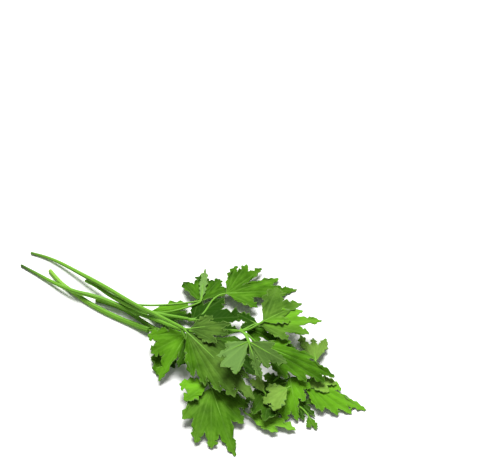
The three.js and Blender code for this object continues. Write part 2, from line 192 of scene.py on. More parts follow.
STEMS = {
    1: {
        "route": [
            (-120.5, 11.1, 0.9), (-110.5, 12.6, 1.4), (-102, 12.6, 2.3), (-92, 11.5, 3.6),
            (-82.5, 10.1, 5), (-72.5, 8.5, 6.8), (-60.5, 6.4, 9), (-49.5, 4.2, 11), (-37, 1.9, 13.4),
            (-29, 1, 15), (-21, -0.1, 16.6), (-6, -2.2, 19.5),
        ],
        "radii": (0.72, 1.3, 0.85),
        "pale": 0.35,
        "dry": 0.6,
        "leaves": [
            leaf((-2, -1, 20), 37, 5, [(27, 15), (0, 23), (-19, 22), (-40, 18)], cut=(0.8, 0.85, 0.8),
                 width=0.3, tone=0.1, grey=0.8),
            # Its middle and right tones are raised: painted light against the shadow that the blades above
            # cast on it
            leaf((-2, -4, 20), -17, -1,
                 [(22, 29), (9, 44), (0, 55), (-8, 47), (-15, 40), (-24, 33), (-34, 26)],
                 cut=(0.85, 0.9, 0.93, 0.93, 0.92, 0.9), width=0.22, lift=(-6, -12), droop=(8, 10, 14),
                 pleat=0.025, tone=(0.1, 0.25, 0.3), grey=(0.8, 0.9, 0)),
            leaf((24, -22, 8), -41, -10, [(44, 23), (23, 27), (0, 42), (-18, 35), (-33, 33), (-59, 24)],
                 start=0.97, cut=(0.85, 0.86, 0.84, 0.85, 0.9), width=0.24, arrive=(-35, 0),
                 swing=(0.1, 0.45), tone=(0.35, 0.42, 0.5), grey=(0.2, 0.15, 0.35)),
            # A curled fold: its middle and right tones are high, a painted highlight on the fold's lit upper
            # side
            leaf((22, -22, 10), -156, -5, [(43, 16), (0, 16)], start=0.97, cut=0.72, width=0.42,
                 arrive=(-35, 0), swing=(0.1, 0.45), tone=(0.65, 1, 1.2), grey=0),
            leaf((-4, -1, 14), -92, -17, [(16, 20), (0, 31), (-34, 23), (-61, 23)], cut=(0.62, 0.8, 0.8),
                 width=0.3, droop=(8, 8, 8), tone=(0.05, 0.62, 0.55), grey=0),
        ],
    },
    2: {
        "route": [
            (-120, 0.5, 0.9), (-108.5, -0.3, 1.3), (-98, -1.3, 2.1), (-89, -2.2, 3.6), (-79.5, -2.2, 5),
            (-70.5, -0.4, 5.3), (-61.5, 1.1, 5.2), (-47.5, 2.2, 5), (-28.5, 2.8, 6.6), (-10, 3, 9),
            (3, 6, 12), (14, 10, 16), (21, 12, 18),
        ],
        "radii": (0.72, 1.35, 0.9),
        "pale": 0.1,
        "dry": 1.0,
        "leaves": [
            leaf((31, 23, 21), 70, -11, [(34, 32), (0, 30), (-28, 16)], cut=0.75, droop=(10, 10, 10),
                 tone=(0.3, 0.35, 0.7), grey=(0.6, 0.5, 0.2)),
            leaf((29, 21, 20), 43, -8, [(15, 29), (0, 38), (-19, 29), (-41, 19)], cut=0.85, width=0.24,
                 droop=(10, 10, 10), tone=(0.9, 0.85, 0.2), grey=(0.2, 0.2, 0.6)),
            leaf((29, 21, 19), 171, -8, [(43, 10), (0, 15)], cut=0.75, width=0.4, arrive=(20, 0),
                 swing=(0.3, 0.3), tone=0.05, grey=0),
            leaf((33, 3, 27), -127, -6, [(23, 13), (0, 19), (-20, 21), (-48, 21)], roll=180,
                 cut=(0.85, 0.8, 0.9), width=0.3, droop=(-5, -5, -5), outer=(0.3, 0.3), arrive=(-43, 0),
                 swing=(0.15, 0.4), tone=0.8),
            leaf((33, 3, 27), -43, -7, [(0, 24)], roll=180, width=0.16, droop=(0, -10, 0), arrive=(-43, 0),
                 swing=(0.15, 0.4), tone=0.28),
            leaf((34, 3, 27), 4, -13, [(30, 18), (0, 23), (-33, 14)], roll=180, cut=(0.85, 0.9), width=0.3,
                 droop=(0, 0, 0), outer=(0.3, 0.3), arrive=(-43, 0), swing=(0.15, 0.4), tone=0.25),
            leaf((37, 11, 17), 11, -9, [(34, 17), (11, 30), (0, 44), (-9, 40), (-20, 32), (-36, 24)],
                 cut=(0.8, 0.93, 0.95, 0.95, 0.92), width=0.22, droop=(5, 10, 10), tone=(0.45, 0.3, 0.2),
                 grey=0),
            leaf((22, 18, 15), 8, -4, [(20, 17), (0, 31), (-28, 15)], cut=0.7, width=0.26, tone=0.2, grey=0),
        ],
    },
    3: {
        "route": [
            (-103, 5.6, 1.1), (-97, 3, 1.2), (-90.5, 0.7, 1.24), (-82.5, -0.8, 1.24), (-69, -3, 1.24),
            (-58, -3.6, 1.15), (-48.5, -3.5, 1.1), (-38.5, -3.2, 1.7), (-28.5, -3.3, 3.3),
        ],
        "radii": (1.1, 1.38, 1.6),
        "pale": 1.3,
        "dry": 0.0,
        "leaves": [
            # Its low left and middle tones are painted shade, for lobes that lie in the shade of the blade
            # above
            leaf((-22, -2, 6), -38, -9, [(25, 19), (0, 25), (-20, 29)], cut=0.8, width=0.26,
                 tone=(-0.15, 0, 0.5), grey=0),
        ],
    },
    4: {
        "route": [
            (-79.5, 8.5, 3.2), (-71.5, 7.7, 4.1), (-61, 5.6, 5.2), (-51, 3.7, 7.4), (-39, 2.5, 9.6),
            (-28.5, 4.6, 10), (-11.5, 11.6, 8),
        ],
        "radii": (0.9, 1.4, 0.9),
        "pale": 0.4,
        "dry": 0.0,
        "leaves": [
            leaf((-9, 12, 8), 35, 2, [(71, 16), (37, 24), (0, 30), (-23, 27)], cut=0.8, width=0.3, tone=-0.2,
                 grey=0),
            leaf((-12, 26, 8), 119, -13, [(31, 21), (0, 26), (-26, 24), (-54, 22)], start=0.38,
                 cut=(0.8, 0.85, 0.85), width=0.22, arrive=(40, 0), swing=(0.3, 0.35), tone=0.17, grey=0),
            leaf((-11, 25, 9), 116, -11, [(0, 27)], start=0.68, roll=180, width=0.1, droop=(5, 10, 5),
                 outer=(1, 1), arrive=(60, 0), swing=(0.3, 0.3), tone=1),
            leaf((-2, 38, 8), 42, -9, [(63, 23), (52, 27), (34, 31), (16, 35), (0, 43), (-34, 20)],
                 cut=(0.85, 0.88, 0.42, 0.85, 0.8), width=0.22, tone=0.38, grey=0.1),
        ],
    },
    5: {
        "route": [
            (-67.5, 1, 1.2), (-59, 2.5, 1.2), (-49, 3.2, 1.3), (-30, 0.5, 1.6), (-13, -1, 2), (3, -3, 2),
            (23, -8, 2), (41, -14, 3),
        ],
        "radii": (1.1, 1.3, 0.9),
        "pale": 0.6,
        "dry": 0.0,
        "leaves": [
            # Low tone: painted shade, for a blade that lies in the shade in the middle of the bunch
            leaf((7, 8, 7), -15, 1, [(28, 30), (0, 39), (-26, 25)], start=0.6, cut=0.75, tone=0.05),
            leaf((-35, 6, 4), 24, 1, [(23, 24), (0, 29), (-24, 22)], start=0.22, cut=0.8, width=0.3,
                 tone=(0.6, 0.05, 0.05), grey=0),
            # Tones above one: painted light against the shadow that the blades above cast on it
            leaf((48, -24, 3), 10, -2, [(28, 20), (0, 28), (-14, 20)], cut=0.85, width=0.24, droop=(0, 0, 0),
                 tone=(1.1, 1.2, 1.2), grey=0.3),
            leaf((51, -11, 10), 164, 5, [(0, 11), (-23, 11)], cut=0.8, width=0.34, tone=1, grey=1),
            leaf((58, 5, 9), -50, -14, [(54, 13), (21, 16), (0, 25), (-17, 25)], cut=(0.8, 0.85, 0.85),
                 width=0.3, tone=0.7, grey=0),
            # Pale green of its own, with its tone raised as painted light against the shadow of the blades
            # above
            leaf((61, -3, 11), -117, -2, [(27, 16), (0, 16), (-34, 12)], cut=0.85, width=0.36, tone=0.8,
                 grey=1),
            # Low tone: painted shade, for a blade deep in the bunch's shade
            leaf((51, -2, 7), -89, 3, [(19, 25), (0, 23), (-22, 19), (-49, 11)], cut=0.88, width=0.3,
                 outer=(1, 1), tone=0.12),
            # Low tone: painted shade, for a blade deep in the bunch's shade
            leaf((58, 2, 8), -132, -1, [(34, 23), (0, 20), (-39, 14)], cut=0.75, width=0.3, tone=0.2),
            leaf((64, 9, 6), 5, -9, [(15, 22), (0, 39), (-10, 33), (-22, 28), (-36, 22)],
                 cut=(0.9, 0.9, 0.95, 0.96), width=0.24, outer=(1, 0.5), tone=(1, 0.85, 0.7),
                 grey=(0.3, 0.1, 0)),
            # Pale grey-green of its own, with its tone raised as painted light against the shadow of the
            # blade above
            leaf((64, 9, 6), 27, -4, [(0, 19), (-23, 16)], cut=0.9, width=0.3, tone=1, grey=0.9),
            leaf((64, 24, 5), 123, -9, [(18, 22), (0, 19), (-22, 19)], cut=0.7, width=0.26, droop=(0, 5, 0),
                 tone=0.5, grey=1),
            leaf((67, -2, 3), -17, -8, [(36, 10), (0, 14), (-29, 13)], width=0.3, droop=(0, 0, 0), tone=0.1),
            leaf((77, -8, 2), -32, -9, [(0, 9), (-24, 7)], cut=0.8, width=0.4, droop=(0, 0, 0)),
        ],
    },
}


def linear(code):
    """A colour code such as 7cc02a as linear red, green and blue."""
    values = [int(code[k:k + 2], 16) / 255 for k in (0, 2, 4)]
    return tuple(v / 12.92 if v <= 0.04045 else ((v + 0.055) / 1.055) ** 2.4 for v in values)


def colour(name, description, code):
    return bpy.props.FloatVectorProperty(
        name=name, description=description, default=linear(code), subtype="COLOR", size=3, min=0.0, max=1.0,
    )


def fraction(name, description, default):
    return bpy.props.FloatProperty(name=name, description=description, default=default)


def brightness(name, description, default):
    return bpy.props.FloatProperty(name=name, description=description, default=default, unit="POWER")


def length(name, description, default):
    return bpy.props.FloatProperty(
        name=name, description=description, default=default, unit="LENGTH", precision=5,
    )


class ParsleyBlades(bpy.types.PropertyGroup):
    thickness: length("Thickness", "How thick a blade is", 0.00036)
    serration: length("Serration", "How far the fine teeth stand out along the edges", 0.0009)
    serration_pitch: length("Serration pitch", "Distance from one fine tooth to the next", 0.0042)
    wave_length: length("Wave length", "Length of the waves along the edges", 0.013)
    vein_spacing: length("Vein spacing", "Distance between side veins", 0.0034)
    deep: colour("Deep green", "Upper face of the darkest blades", "1f4203")
    bright: colour("Bright green", "Upper face of the brightest blades", "67a51d")
    matt: colour("Matt green", "Upper face of the dark matt blades", "3c591d")
    pale: colour("Pale green", "Upper face of the pale matt blades", "7ca242")
    under: colour("Underside", "Lower face of the blades", "678c46")
    vein: colour("Veins", "Middle veins of the blades", "80a650")


class ParsleyStalks(bpy.types.PropertyGroup):
    rib_height: fraction("Rib height", "Height of the ribs along a stalk, as a share of its radius", 0.07)
    ribs: bpy.props.IntProperty(name="Ribs", description="Ribs round a stalk", default=7, min=3, max=12)
    skin: colour("Skin", "Green of the stalks", "568f22")
    # The ribs' paler green, also used for the painted highlight along them
    rib: colour("Ribs", "Pale green of the ribs", "86b840")
    dry: colour("Dry end", "Dark green of a stalk that dries from its cut end", "33521a")
    cut: colour("Cut end", "Pith at the cut ends", "b4c488")


class ParsleyStage(bpy.types.PropertyGroup):
    floor: colour("Floor", "Pale floor", "f4f4f2")
    key: brightness("Key light", "Power of the main light", 26.0)
    fill: brightness("Fill light", "Power of the fill", 1.0)
    sky: fraction("Sky", "Brightness of the even light", 0.22)


# Shader maths

class Term:
    """A shader value that works in Python expressions. Each operation adds one Math node."""

    def __init__(self, paint, socket):
        self.paint = paint
        self.socket = socket

    def __add__(self, other):
        return self.paint.math("ADD", self, other)

    def __radd__(self, other):
        return self.paint.math("ADD", other, self)

    def __sub__(self, other):
        return self.paint.math("SUBTRACT", self, other)

    def __rsub__(self, other):
        return self.paint.math("SUBTRACT", other, self)

    def __mul__(self, other):
        return self.paint.math("MULTIPLY", self, other)

    def __rmul__(self, other):
        return self.paint.math("MULTIPLY", other, self)

    def __truediv__(self, other):
        return self.paint.math("DIVIDE", self, other)

    def __rtruediv__(self, other):
        return self.paint.math("DIVIDE", other, self)


def around(texture, strength):
    """A texture's swing to both sides of nothing."""
    return strength * (texture - 0.5)


class Paint:
    """Builds the nodes of one material."""

    def __init__(self, name):
        self.material = bpy.data.materials.new(name)
        self.material.use_nodes = True
        self.tree = self.material.node_tree
        self.tree.nodes.clear()

    def node(self, kind, settings=None, values=None):
        """A node of a type, with its settings made first and then the values or links of its sockets."""
        made = self.tree.nodes.new("ShaderNode" + kind)
        for name, value in (settings or {}).items():
            setattr(made, name, value)
        for name, value in (values or {}).items():
            self.put(made.inputs[name], value)
        return made

    def put(self, socket, value):
        if isinstance(value, Term):
            value = value.socket
        if isinstance(value, bpy.types.NodeSocket):
            self.tree.links.new(value, socket)
        elif hasattr(socket.default_value, "__len__") and len(socket.default_value) == 4 and len(value) == 3:
            socket.default_value = (*value, 1.0)
        else:
            socket.default_value = value

    def math(self, operation, *values):
        made = self.node("Math", {"operation": operation}, dict(enumerate(values)))
        return Term(self, made.outputs[0])

    def step(self, value, low, high):
        """0 up to low and 1 from high on, with a soft rise between. Low can be the larger of the two."""
        made = self.node("MapRange", {"interpolation_type": "SMOOTHSTEP"}, {
            "Value": value, "From Min": low, "From Max": high, "To Min": 0.0, "To Max": 1.0,
        })
        return Term(self, made.outputs["Result"])

    def mix(self, factor, first, second):
        """A colour between two, for a factor that is held between 0 and 1."""
        made = self.node("Mix", {"data_type": "RGBA", "blend_type": "MIX", "clamp_factor": True})
        for index, value in ((0, factor), (6, first), (7, second)):
            self.put(made.inputs[index], value)
        return made.outputs[2]

    def attribute(self, name):
        made = self.node("Attribute", {"attribute_name": name})
        return Term(self, made.outputs["Fac"])

    def uv(self, name):
        """The two values of a UV map."""
        made = self.node("UVMap", {"uv_map": name})
        split = self.node("SeparateXYZ", None, {0: made.outputs["UV"]})
        return Term(self, split.outputs["X"]), Term(self, split.outputs["Y"])

    def place(self):
        return self.node("TexCoord").outputs["Object"]

    def noise(self, vector, scale, detail=3.0):
        values = {"Vector": vector, "Scale": scale, "Detail": detail, "Roughness": 0.55}
        return Term(self, self.node("TexNoise", None, values).outputs["Fac"])

    def bump(self, height, strength, distance, normal=None):
        values = {"Height": height, "Strength": strength, "Distance": distance}
        if normal is not None:
            values["Normal"] = normal
        return self.node("Bump", None, values).outputs["Normal"]

    def finish(self, **sockets):
        """The finished material, from values for the shader's sockets with _ for a space."""
        shader = self.node("BsdfPrincipled", None, {k.replace("_", " "): v for k, v in sockets.items()})
        output = self.node("OutputMaterial")
        self.tree.links.new(shader.outputs[0], output.inputs[0])
        return self.material


def blade_paint(name, sizes, underside):
    """The face of a blade. UV x and y are millimetres along a lobe's middle vein and out from it."""
    paint = Paint(name)
    along, out = paint.uv("vein")
    place = paint.place()
    tone = paint.attribute("tone")
    grey = paint.attribute("grey")
    rim = paint.attribute("rim")
    mottle = paint.noise(place, MOTTLES)
    cloud = paint.noise(place, CLOUDS, 2.0)
    fine = paint.noise(place, PORES, 2.0)

    spacing = sizes.vein_spacing / MM
    bent = along - VEIN_SLANT * out + around(mottle, VEIN_STRAY)
    cycle = paint.math("FRACT", bent / spacing)
    off_vein = paint.math("ABSOLUTE", cycle - 0.5) * spacing
    side_vein = paint.step(off_vein, *SIDE_VEIN)
    middle_vein = paint.step(out, *MIDDLE_VEIN)
    side_vein = side_vein * SIDE_VEIN_SHOW * paint.step(rim, *VEINLESS_RIM)
    veins = paint.math("MAXIMUM", middle_vein, side_vein)

    # The tone carries each blade's own green and also painted light: low for painted shade, high for painted
    # light
    if underside:
        shade = paint.mix(tone + around(cloud, UNDER_CLOUDS), sizes.matt, sizes.under)
        shade = paint.mix(veins * UNDER_VEINS, shade, sizes.vein)
        relief = veins * 0.4 + 0.25 * fine
        roughness = 0.62 + 0.1 * mottle
    else:
        spots = [value * stretch for value, stretch in zip((along, out, cloud), STREAK_STRETCH)]
        grain = paint.node("CombineXYZ", None, dict(zip("XYZ", spots)))
        streak = paint.noise(grain.outputs[0], 1.0)
        lively = tone + around(cloud, UPPER_CLOUDS) + around(mottle, UPPER_MOTTLES)
        lively = lively + around(streak, UPPER_STREAKS)
        fresh = paint.mix(lively, sizes.deep, sizes.bright)
        dull = paint.mix(lively, sizes.matt, sizes.pale)
        shade = paint.mix(grey + around(streak, DULL_STREAKS), fresh, dull)
        shade = paint.mix(veins * UPPER_VEINS, shade, sizes.vein)
        relief = 0.5 * (1.0 - veins) + 0.2 * fine
        roughness = 0.55 + 0.2 * mottle
    edge = paint.step(rim, *PALE_RIM)
    shade = paint.mix(edge * RIM_SHOW, shade, sizes.vein)
    swell = paint.bump(paint.math("SINE", cycle * math.pi), 0.14, 0.0004)
    normal = paint.bump(relief, 0.5, 0.00012, swell)
    return paint.finish(
        Base_Color=shade, Roughness=roughness, Normal=normal, Specular_IOR_Level=0.03,
    )


def stalk_paint(name, sizes):
    """The ribbed skin of a stalk. UV x goes round it and y along it, in millimetres from the cut end."""
    paint = Paint(name)
    turn, along = paint.uv("skin")
    place = paint.place()
    rib = paint.attribute("rib")
    pale = paint.attribute("pale")
    dry = paint.attribute("dry")
    streaks = paint.node("CombineXYZ", None, {"X": turn * STALK_STRETCH[0], "Y": along * STALK_STRETCH[1]})
    grain = paint.noise(streaks.outputs[0], 1.0, 4.0)
    cloud = paint.noise(place, STALK_CLOUDS, 2.0)
    # Paler along the ribs: partly their own paler green, partly a painted highlight along them
    shade = paint.mix(rib * RIB_AND_HIGHLIGHT_SHOW + around(grain, RIB_GRAIN), sizes.skin, sizes.rib)
    shade = paint.mix(pale * (0.4 + 0.6 * cloud), shade, sizes.rib)
    shade = paint.mix(dry * (0.5 + 0.8 * grain), shade, sizes.dry)
    normal = paint.bump(grain, 0.35, 0.0002)
    return paint.finish(
        Base_Color=shade, Roughness=0.42 + 0.2 * grain, Normal=normal, Specular_IOR_Level=0.15,
    )


def cut_paint(name, sizes):
    """Moist pith at a cut end."""
    paint = Paint(name)
    cells = paint.node("TexVoronoi", {"feature": "F1"}, {"Vector": paint.place(), "Scale": PITH_CELLS})
    depth = Term(paint, cells.outputs["Distance"])
    shade = paint.mix(0.25 + 0.4 * depth, sizes.cut, sizes.rib)
    normal = paint.bump(depth, 0.4, 0.0001)
    return paint.finish(Base_Color=shade, Roughness=0.35 + 0.2 * depth, Normal=normal, Specular_IOR_Level=0.5)


# Curves and blades, in millimetres

def smooth_route(points, count):
    """Evenly spaced points on a centripetal Catmull-Rom curve, as the solids use."""
    given = [np.array(p, float) for p in points]
    given = [2 * given[0] - given[1], *given, 2 * given[-1] - given[-2]]
    fine = []
    for k in range(1, len(given) - 2):
        p = given[k - 1:k + 3]
        gaps = [max(np.linalg.norm(p[i + 1] - p[i]) ** 0.5, 1e-4) for i in range(3)]
        first = (p[1] - p[0]) / gaps[0] - (p[2] - p[0]) / (gaps[0] + gaps[1]) + (p[2] - p[1]) / gaps[1]
        second = (p[2] - p[1]) / gaps[1] - (p[3] - p[1]) / (gaps[1] + gaps[2]) + (p[3] - p[2]) / gaps[2]
        first, second = first * gaps[1], second * gaps[1]
        square = -3 * p[1] + 3 * p[2] - 2 * first - second
        cube = 2 * p[1] - 2 * p[2] + first + second
        for t in np.linspace(0, 1, CURVE_STEPS, endpoint=k == len(given) - 3):
            fine.append(p[1] + first * t + square * t ** 2 + cube * t ** 3)
    return evenly(np.array(fine), count)


def evenly(points, count):
    """The same path, with its points an equal distance apart."""
    travelled = np.r_[0, np.cumsum(np.linalg.norm(np.diff(points, axis=0), axis=1))]
    stops = np.linspace(0, travelled[-1], count)
    return np.stack([np.interp(stops, travelled, points[:, k]) for k in range(points.shape[1])], axis=1)


def leaf_frame(shape):
    """Unit vectors along a blade's middle lobe, to its left and out of its upper face."""
    heading, pitch, roll = (math.radians(shape[k]) for k in ("heading", "pitch", "roll"))
    run = math.cos(pitch)
    ahead = np.array([math.cos(heading) * run, math.sin(heading) * run, math.sin(pitch)])
    level = np.array([-math.sin(heading), math.cos(heading), 0.0])
    out = np.cross(ahead, level) * math.cos(roll) + level * math.sin(roll)
    return ahead, np.cross(out, ahead), out


def pleat(shape, angle, radius):
    """How high a blade stands between the two nearest veins."""
    veins = np.array(sorted(a for a, _ in shape["lobes"]), float)
    posts = np.r_[veins[0] - OUTER_GAP, veins, veins[-1] + OUTER_GAP]
    slot = np.clip(np.searchsorted(posts, angle, side="right"), 1, len(posts) - 1)
    low, high = posts[slot - 1], posts[slot]
    share = np.clip(np.minimum(angle - low, high - angle) / (high - low) * 2, 0, 1)
    outside = (angle < veins[0]) | (angle > veins[-1])
    beyond = np.where(angle < veins[0], veins[0] - angle, angle - veins[-1])
    share = np.where(outside, np.clip(beyond / (OUTER_GAP / 2), 0, 1), share)
    return PLEATING * shape["pleat"] * radius * (1 - np.cos(math.pi * share)) / 2


def lay(shape, flat, relief=0.0):
    """Flat points of a blade to their place in the bunch: each ray from the base bends down as an arc."""
    ahead, left, out = leaf_frame(shape)
    x, y = flat[..., 0], flat[..., 1]
    radius = np.hypot(x, y)
    turn = np.arctan2(y, x)
    angle = np.degrees(turn)
    angles = [a for a, _ in shape["lobes"]]
    size = max(l for _, l in shape["lobes"])
    knots = [min(-1, *angles), 0, max(1, *angles)]
    lift = np.radians(np.interp(angle, knots, [shape["lift"][1], 0, shape["lift"][0]]))
    droop = np.interp(angle, knots, shape["droop"][::-1])
    bend = np.radians(np.where(np.abs(droop) < FLATTEST, FLATTEST, droop)) / size
    run = (np.sin(lift) - np.sin(lift - bend * radius)) / bend
    rise = (np.cos(lift - bend * radius) - np.cos(lift)) / bend + pleat(shape, angle, radius) + relief
    spot = np.array(shape["base"], float) + (run * np.cos(turn))[..., None] * ahead
    spot = spot + (run * np.sin(turn))[..., None] * left + rise[..., None] * out
    height = (spot[..., 2] - FLOOR_MIDDLE) / FLOOR_SOFTNESS
    spot[..., 2] = FLOOR_MIDDLE + FLOOR_SOFTNESS * np.logaddexp(0, height)
    return spot


def spread(shape, flat, look):
    """A look's value over flat points: one number, or three for the blade's left, middle and right."""
    values = np.ones(3) * shape[look]
    angles = [a for a, _ in shape["lobes"]]
    turn = np.degrees(np.arctan2(flat[..., 1], flat[..., 0]))
    return np.interp(turn, [min(-1, *angles), 0, max(1, *angles)], values[::-1])


def cuts_of(shape):
    """How much of the shorter of two lobes each notch leaves whole, from the left."""
    return np.ones(len(shape["lobes"]) - 1) * shape["cut"] - DEEPER


def lobe_side(shape, number, side):
    """Corners of one side of a lobe from its notch or the base to its tip, as (along, out) from its vein."""
    lobes = shape["lobes"]
    angle, size = lobes[number]
    width = shape["width"] * size
    other = number - side
    corners = []
    if 0 <= other < len(lobes):
        gap = abs(lobes[other][0] - angle)
        radius = cuts_of(shape)[min(number, other)] * min(size, lobes[other][1])
        half = math.radians(gap / 2)
        start = radius * math.cos(half)
        corners.append((start, radius * math.sin(half)))
    else:
        start, half = 0.0, None
        width *= shape["outer"][0 if side > 0 else 1]
        corners.append((0.0, 0.0))
        corners += [(s * size, width * np.interp(s, ENVELOPE_AT, ENVELOPE_WIDTH)) for s in OUTER_STOPS]
    first = start / size
    step = min(TOOTH_STEP, TOOTH_CROWDING * (1 - first)) * size
    teeth = OUTER_TEETH if half is None else [first + (1 - first) * stop for stop in SIDE_TEETH]
    for stop in teeth:
        x = stop * size
        out = width * np.interp(stop, ENVELOPE_AT, ENVELOPE_WIDTH)
        if half is not None:
            out = min(out, max(x * math.tan(half) - NOTCH_OPENING * (x - start), SLIMMEST * size))
        corners += [(x, out), (x + step, out * (1 - TOOTH_DEPTH))]
    corners.append((size, 0.0))
    return corners


def toothed_edge(corners, rows, serration, pitch, phase, plain):
    """A lobe's edge as rows of points: swelling stretches between the corners, with fine teeth along them."""
    path = []
    for (x0, y0), (x1, y1) in zip(corners, corners[1:]):
        along, out = x1 - x0, y1 - y0
        run = math.hypot(along, out)
        swell = SWELL * run if run > SWELL_FROM else 0.0
        for t in np.linspace(0, 1, EDGE_STEPS, endpoint=False):
            lift = 4 * t * (1 - t) * swell / run
            path.append((x0 + along * t - out * lift, y0 + out * t + along * lift))
    path.append(corners[-1])
    path = evenly(np.array(path), rows + 1)
    steps = np.gradient(path, axis=0)
    steps /= np.maximum(np.linalg.norm(steps, axis=1), 1e-9)[:, None]
    outward = np.stack([-steps[:, 1], steps[:, 0]], axis=1)
    travelled = np.r_[0, np.cumsum(np.linalg.norm(np.diff(path, axis=0), axis=1))]
    cycle = np.mod(travelled / pitch + phase, 1.0)
    to_tip = travelled[-1] - travelled
    fade = np.clip((travelled - plain) / TEETH_SET_IN, 0, 1) * np.clip(to_tip / TEETH_END, 0, 1)
    return path + outward * (serration * (cycle ** HOOK - TOOTH_SINK) * fade)[:, None]


def half_lobe(shape, number, side, sizes, rng):
    """Half a lobe as a grid: flat points, places along and out from the vein, distance to the rim, relief."""
    angle, size = shape["lobes"][number]
    corners = lobe_side(shape, number, side)
    joined = corners[0][0] > 0
    serration, pitch = sizes.serration / MM, sizes.serration_pitch / MM
    cut = float(np.mean(cuts_of(shape))) if len(shape["lobes"]) > 1 else ROWS_TURN
    stops = np.r_[np.linspace(0, cut, INNER_ROWS, endpoint=False), np.linspace(cut, 1, OUTER_ROWS + 1)]
    vein = np.stack([stops * size, np.zeros_like(stops)], axis=1)
    if joined:
        notch = np.array(corners[0])
        inner = notch * np.linspace(0, 1, INNER_ROWS, endpoint=False)[:, None]
        outer = toothed_edge(corners, OUTER_ROWS, serration, pitch, rng.random(), PLAIN_NOTCH)
        edge = np.r_[inner, outer]
    else:
        plain = PLAIN_BASE * size
        edge = toothed_edge(corners, INNER_ROWS + OUTER_ROWS, serration, pitch, rng.random(), plain)
    across = np.array(ACROSS)
    grid = vein[:, None, :] + (edge - vein)[:, None, :] * across[None, :, None]
    reach = np.linalg.norm(edge - vein, axis=1)
    rim = reach[:, None] * (1 - across)[None, :]
    rows = np.arange(len(stops))
    if joined:
        inside = np.maximum(INNER_ROWS - rows, 0) * (cut * size / INNER_ROWS)
        rim = rim + inside[:, None]
    wave = np.sin(2 * math.pi * (edge[:, 0] / (sizes.wave_length / MM) + rng.random()))
    still = INNER_ROWS if joined else STILL_ROWS
    ease = np.clip((rows - still) / WAVE_ROWS, 0, 1) * np.clip((len(rows) - 1 - rows) / WAVE_ROWS, 0, 1)
    relief = shape["wave"] * (wave * ease)[:, None] * across[None, :] ** 2
    groove = np.exp(-(grid[..., 1] / GROOVE_WIDTH) ** 2)
    relief = relief - GROOVE_DEPTH * groove * (1 - stops)[:, None]
    turn = math.radians(angle)
    flat = np.stack([
        grid[..., 0] * math.cos(turn) - side * grid[..., 1] * math.sin(turn),
        grid[..., 0] * math.sin(turn) + side * grid[..., 1] * math.cos(turn),
    ], axis=-1)
    return flat, grid, rim, relief


# Modelling with Blender's own tools

def clear_selection():
    if bpy.context.object and bpy.context.object.mode != "OBJECT":
        bpy.ops.object.mode_set(mode="OBJECT")
    bpy.ops.object.select_all(action="DESELECT")


def only(piece):
    clear_selection()
    piece.select_set(True)
    bpy.context.view_layer.objects.active = piece


def apply_modifier(piece, kind, **settings):
    only(piece)
    made = piece.modifiers.new(kind.title(), kind)
    for name, value in settings.items():
        setattr(made, name, value)
    bpy.ops.object.modifier_apply(modifier=made.name)


def grid_template(materials):
    """A flat grid, one unit a side, that every half of a lobe starts from."""
    clear_selection()
    rows, columns = INNER_ROWS + OUTER_ROWS, len(ACROSS) - 1
    middle = (0.5, 0.5, 0)
    bpy.ops.mesh.primitive_grid_add(x_subdivisions=rows, y_subdivisions=columns, size=1, location=middle)
    made = bpy.context.object
    made.name = "half_lobe_grid"
    give(made, materials)
    bpy.ops.object.transform_apply(location=True)
    made.data.uv_layers[0].name = "vein"
    return made


def rod_template(name, sides, rings, cut_end, materials):
    """A rod one unit long and one unit in radius along Z, with rings to bend at and a dished cut end."""
    clear_selection()
    bpy.ops.mesh.primitive_cylinder_add(vertices=sides, radius=1, depth=1, location=(0, 0, 0.5))
    made = bpy.context.object
    made.name = name
    give(made, materials)
    bpy.ops.object.transform_apply(location=True)
    made.data.uv_layers[0].name = "skin"
    bpy.ops.object.mode_set(mode="EDIT")
    bpy.ops.mesh.select_mode(type="EDGE")
    bpy.ops.mesh.select_all(action="DESELECT")
    mesh = bmesh.from_edit_mesh(made.data)
    for edge in mesh.edges:
        edge.select = abs(edge.verts[0].co.z - edge.verts[1].co.z) > 0.5
    bmesh.update_edit_mesh(made.data)
    bpy.ops.mesh.subdivide_edgering(number_cuts=rings - 1)
    if cut_end:
        bpy.ops.mesh.select_mode(type="FACE")
        bpy.ops.mesh.select_all(action="DESELECT")
        mesh = bmesh.from_edit_mesh(made.data)
        for face in mesh.faces:
            face.select = face.normal.z < -0.9
            face.material_index = 1 if face.select else 0
        bmesh.update_edit_mesh(made.data)
        for thickness in CUT_INSETS:
            bpy.ops.mesh.inset(thickness=thickness)
        bpy.ops.transform.translate(value=(0, 0, CUT_DISH))
    bpy.ops.object.mode_set(mode="OBJECT")
    return made


def give(piece, materials):
    for material in materials:
        piece.data.materials.append(material)


def copy_of(template, name):
    made = bpy.data.objects.new(name, template.data.copy())
    bpy.context.scene.collection.objects.link(made)
    return made


def coordinates(mesh):
    found = np.empty(len(mesh.vertices) * 3)
    mesh.vertices.foreach_get("co", found)
    return found.reshape(-1, 3)


def set_coordinates(mesh, points):
    """Points in millimetres in the tables' frame, set in metres round the bunch's middle."""
    moved = (points - np.array([*ORIGIN, 0.0])) * MM
    mesh.vertices.foreach_set("co", moved.ravel())
    mesh.update()


def set_uv(mesh, values):
    """UV from values per vertex."""
    corners = np.empty(len(mesh.loops), int)
    mesh.loops.foreach_get("vertex_index", corners)
    mesh.uv_layers[0].data.foreach_set("uv", values[corners].ravel())


def set_attribute(mesh, name, values):
    made = mesh.attributes.new(name, "FLOAT", "POINT")
    made.data.foreach_set("value", np.asarray(values, float))


